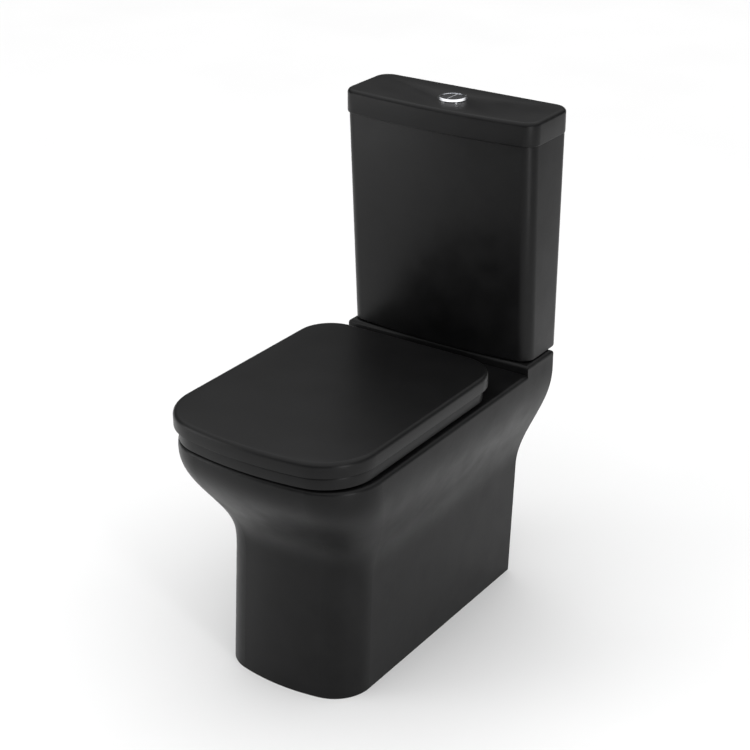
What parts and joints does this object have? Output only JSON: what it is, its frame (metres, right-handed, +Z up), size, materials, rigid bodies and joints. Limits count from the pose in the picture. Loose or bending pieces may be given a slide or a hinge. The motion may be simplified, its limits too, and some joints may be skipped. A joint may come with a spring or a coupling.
{
  "type": "close coupled toilet",
  "caption": "Close coupled toilet with a squared pan, a flat hinged seat and lid, and a slim cistern with a round dual flush push button in its lift-off lid.",
  "frame": {"origin": "on the floor, on the centre line, halfway between the wall line behind the cistern and the front edge of the seat lid", "axes": "+Z up, the front of the toilet faces -Y, +X is to the right of someone who faces the front"},
  "size_m": [0.3604, 0.65, 0.849],
  "materials": {
    "black_ceramic": "matte",
    "black_duroplast": "satin",
    "chrome": "polished",
    "white_plastic": "satin",
    "blue_plastic": "satin",
    "grey_plastic": "satin",
    "black_rubber": "matte",
    "steel": "satin",
    "brass": "satin",
    "clear_rubber": "matte"
  },
  "bodies": {
    "frame": {"pan": "black_ceramic", "cistern_tank": "black_ceramic", "coupling_doughnut": "black_rubber", "coupling_bolts": "brass", "coupling_bolt_seals": "black_rubber", "coupling_plate_washers": "steel", "coupling_wing_nuts": "brass", "flush_valve_basket": "white_plastic", "flush_valve_inner_seal": "black_rubber", "flush_valve_back_nut": "white_plastic", "rocker_axles": "steel", "fill_valve": "white_plastic", "fill_valve_inner_seal": "black_rubber", "fill_valve_back_nut": "white_plastic", "fill_valve_arm_pin": "steel", "hinge_post_left": "chrome", "hinge_post_right": "chrome", "hinge_pin_left": "steel", "hinge_pin_right": "steel", "seat_fixing_bolts": "steel", "seat_fixing_washers": "black_rubber", "seat_fixing_nuts": "white_plastic"},
    "seat": {"seat_ring": "black_duroplast", "seat_buffers": "clear_rubber"},
    "lid": {"seat_lid": "black_duroplast", "seat_lid_buffers": "clear_rubber"},
    "cistern_cover": {"cistern_lid": "black_ceramic", "button_bezel": "chrome", "button_nut": "white_plastic"},
    "full_button": {"full_flush_button": "chrome", "full_flush_rod": "white_plastic"},
    "half_button": {"half_flush_button": "chrome", "half_flush_rod": "white_plastic"},
    "full_rocker": {"full_flush_rocker": "grey_plastic"},
    "half_rocker": {"half_flush_rocker": "grey_plastic"},
    "flush_tube": {"overflow_tube": "blue_plastic", "flush_seal": "black_rubber"},
    "float": {"fill_valve_float": "white_plastic"},
    "float_arm": {"fill_valve_arm": "grey_plastic"}
  },
  "joints": [
    {"name": "seat_hinge", "type": "hinge", "parent": "frame", "child": "seat", "pos_m": [0, 0.139, 0.444], "axis": [-1, 0, 0], "range_deg": [0, 93.3]},
    {"name": "seat_lid_hinge", "type": "hinge", "parent": "frame", "child": "lid", "pos_m": [0, 0.139, 0.444], "axis": [-1, 0, 0], "range_deg": [0, 93.3]},
    {"name": "cistern_lid_lift", "type": "slide", "parent": "frame", "child": "cistern_cover", "axis": [0, 0, 1], "range_m": [0, 0.15]},
    {"name": "full_flush_press", "type": "slide", "parent": "cistern_cover", "child": "full_button", "axis": [0, 0, -1], "range_m": [0, 0.006], "stiffness_N_per_m": 500, "springref_m": -0.004},
    {"name": "half_flush_press", "type": "slide", "parent": "cistern_cover", "child": "half_button", "axis": [0, 0, -1], "range_m": [0, 0.006], "stiffness_N_per_m": 500, "springref_m": -0.004},
    {"name": "full_rocker_pivot", "type": "hinge", "parent": "frame", "child": "full_rocker", "pos_m": [0.013, 0.253, 0.705], "axis": [1, 0, 0], "range_deg": [0, 35]},
    {"name": "half_rocker_pivot", "type": "hinge", "parent": "frame", "child": "half_rocker", "pos_m": [-0.013, 0.253, 0.705], "axis": [1, 0, 0], "range_deg": [0, 35]},
    {"name": "flush_lift", "type": "slide", "parent": "frame", "child": "flush_tube", "axis": [0, 0, 1], "range_m": [0, 0.012]},
    {"name": "float_rise", "type": "slide", "parent": "frame", "child": "float", "axis": [0, 0, 1], "range_m": [0, 0.014]},
    {"name": "float_arm_pivot", "type": "hinge", "parent": "frame", "child": "float_arm", "pos_m": [-0.13, 0.259, 0.7215], "axis": [0, -1, 0], "range_deg": [0, 21.6]}
  ],
  "couplings": [
    {"joint": "seat_lid_hinge", "follows": "seat_hinge", "ratio": 1},
    {"joint": "full_rocker_pivot", "follows": "full_flush_press", "rad_per_m": 101.71},
    {"joint": "half_rocker_pivot", "follows": "half_flush_press", "rad_per_m": 101.71},
    {"joint": "flush_lift", "follows": "full_flush_press", "ratio": 1.95},
    {"joint": "float_arm_pivot", "follows": "float_rise", "rad_per_m": 26.9}
  ]
}
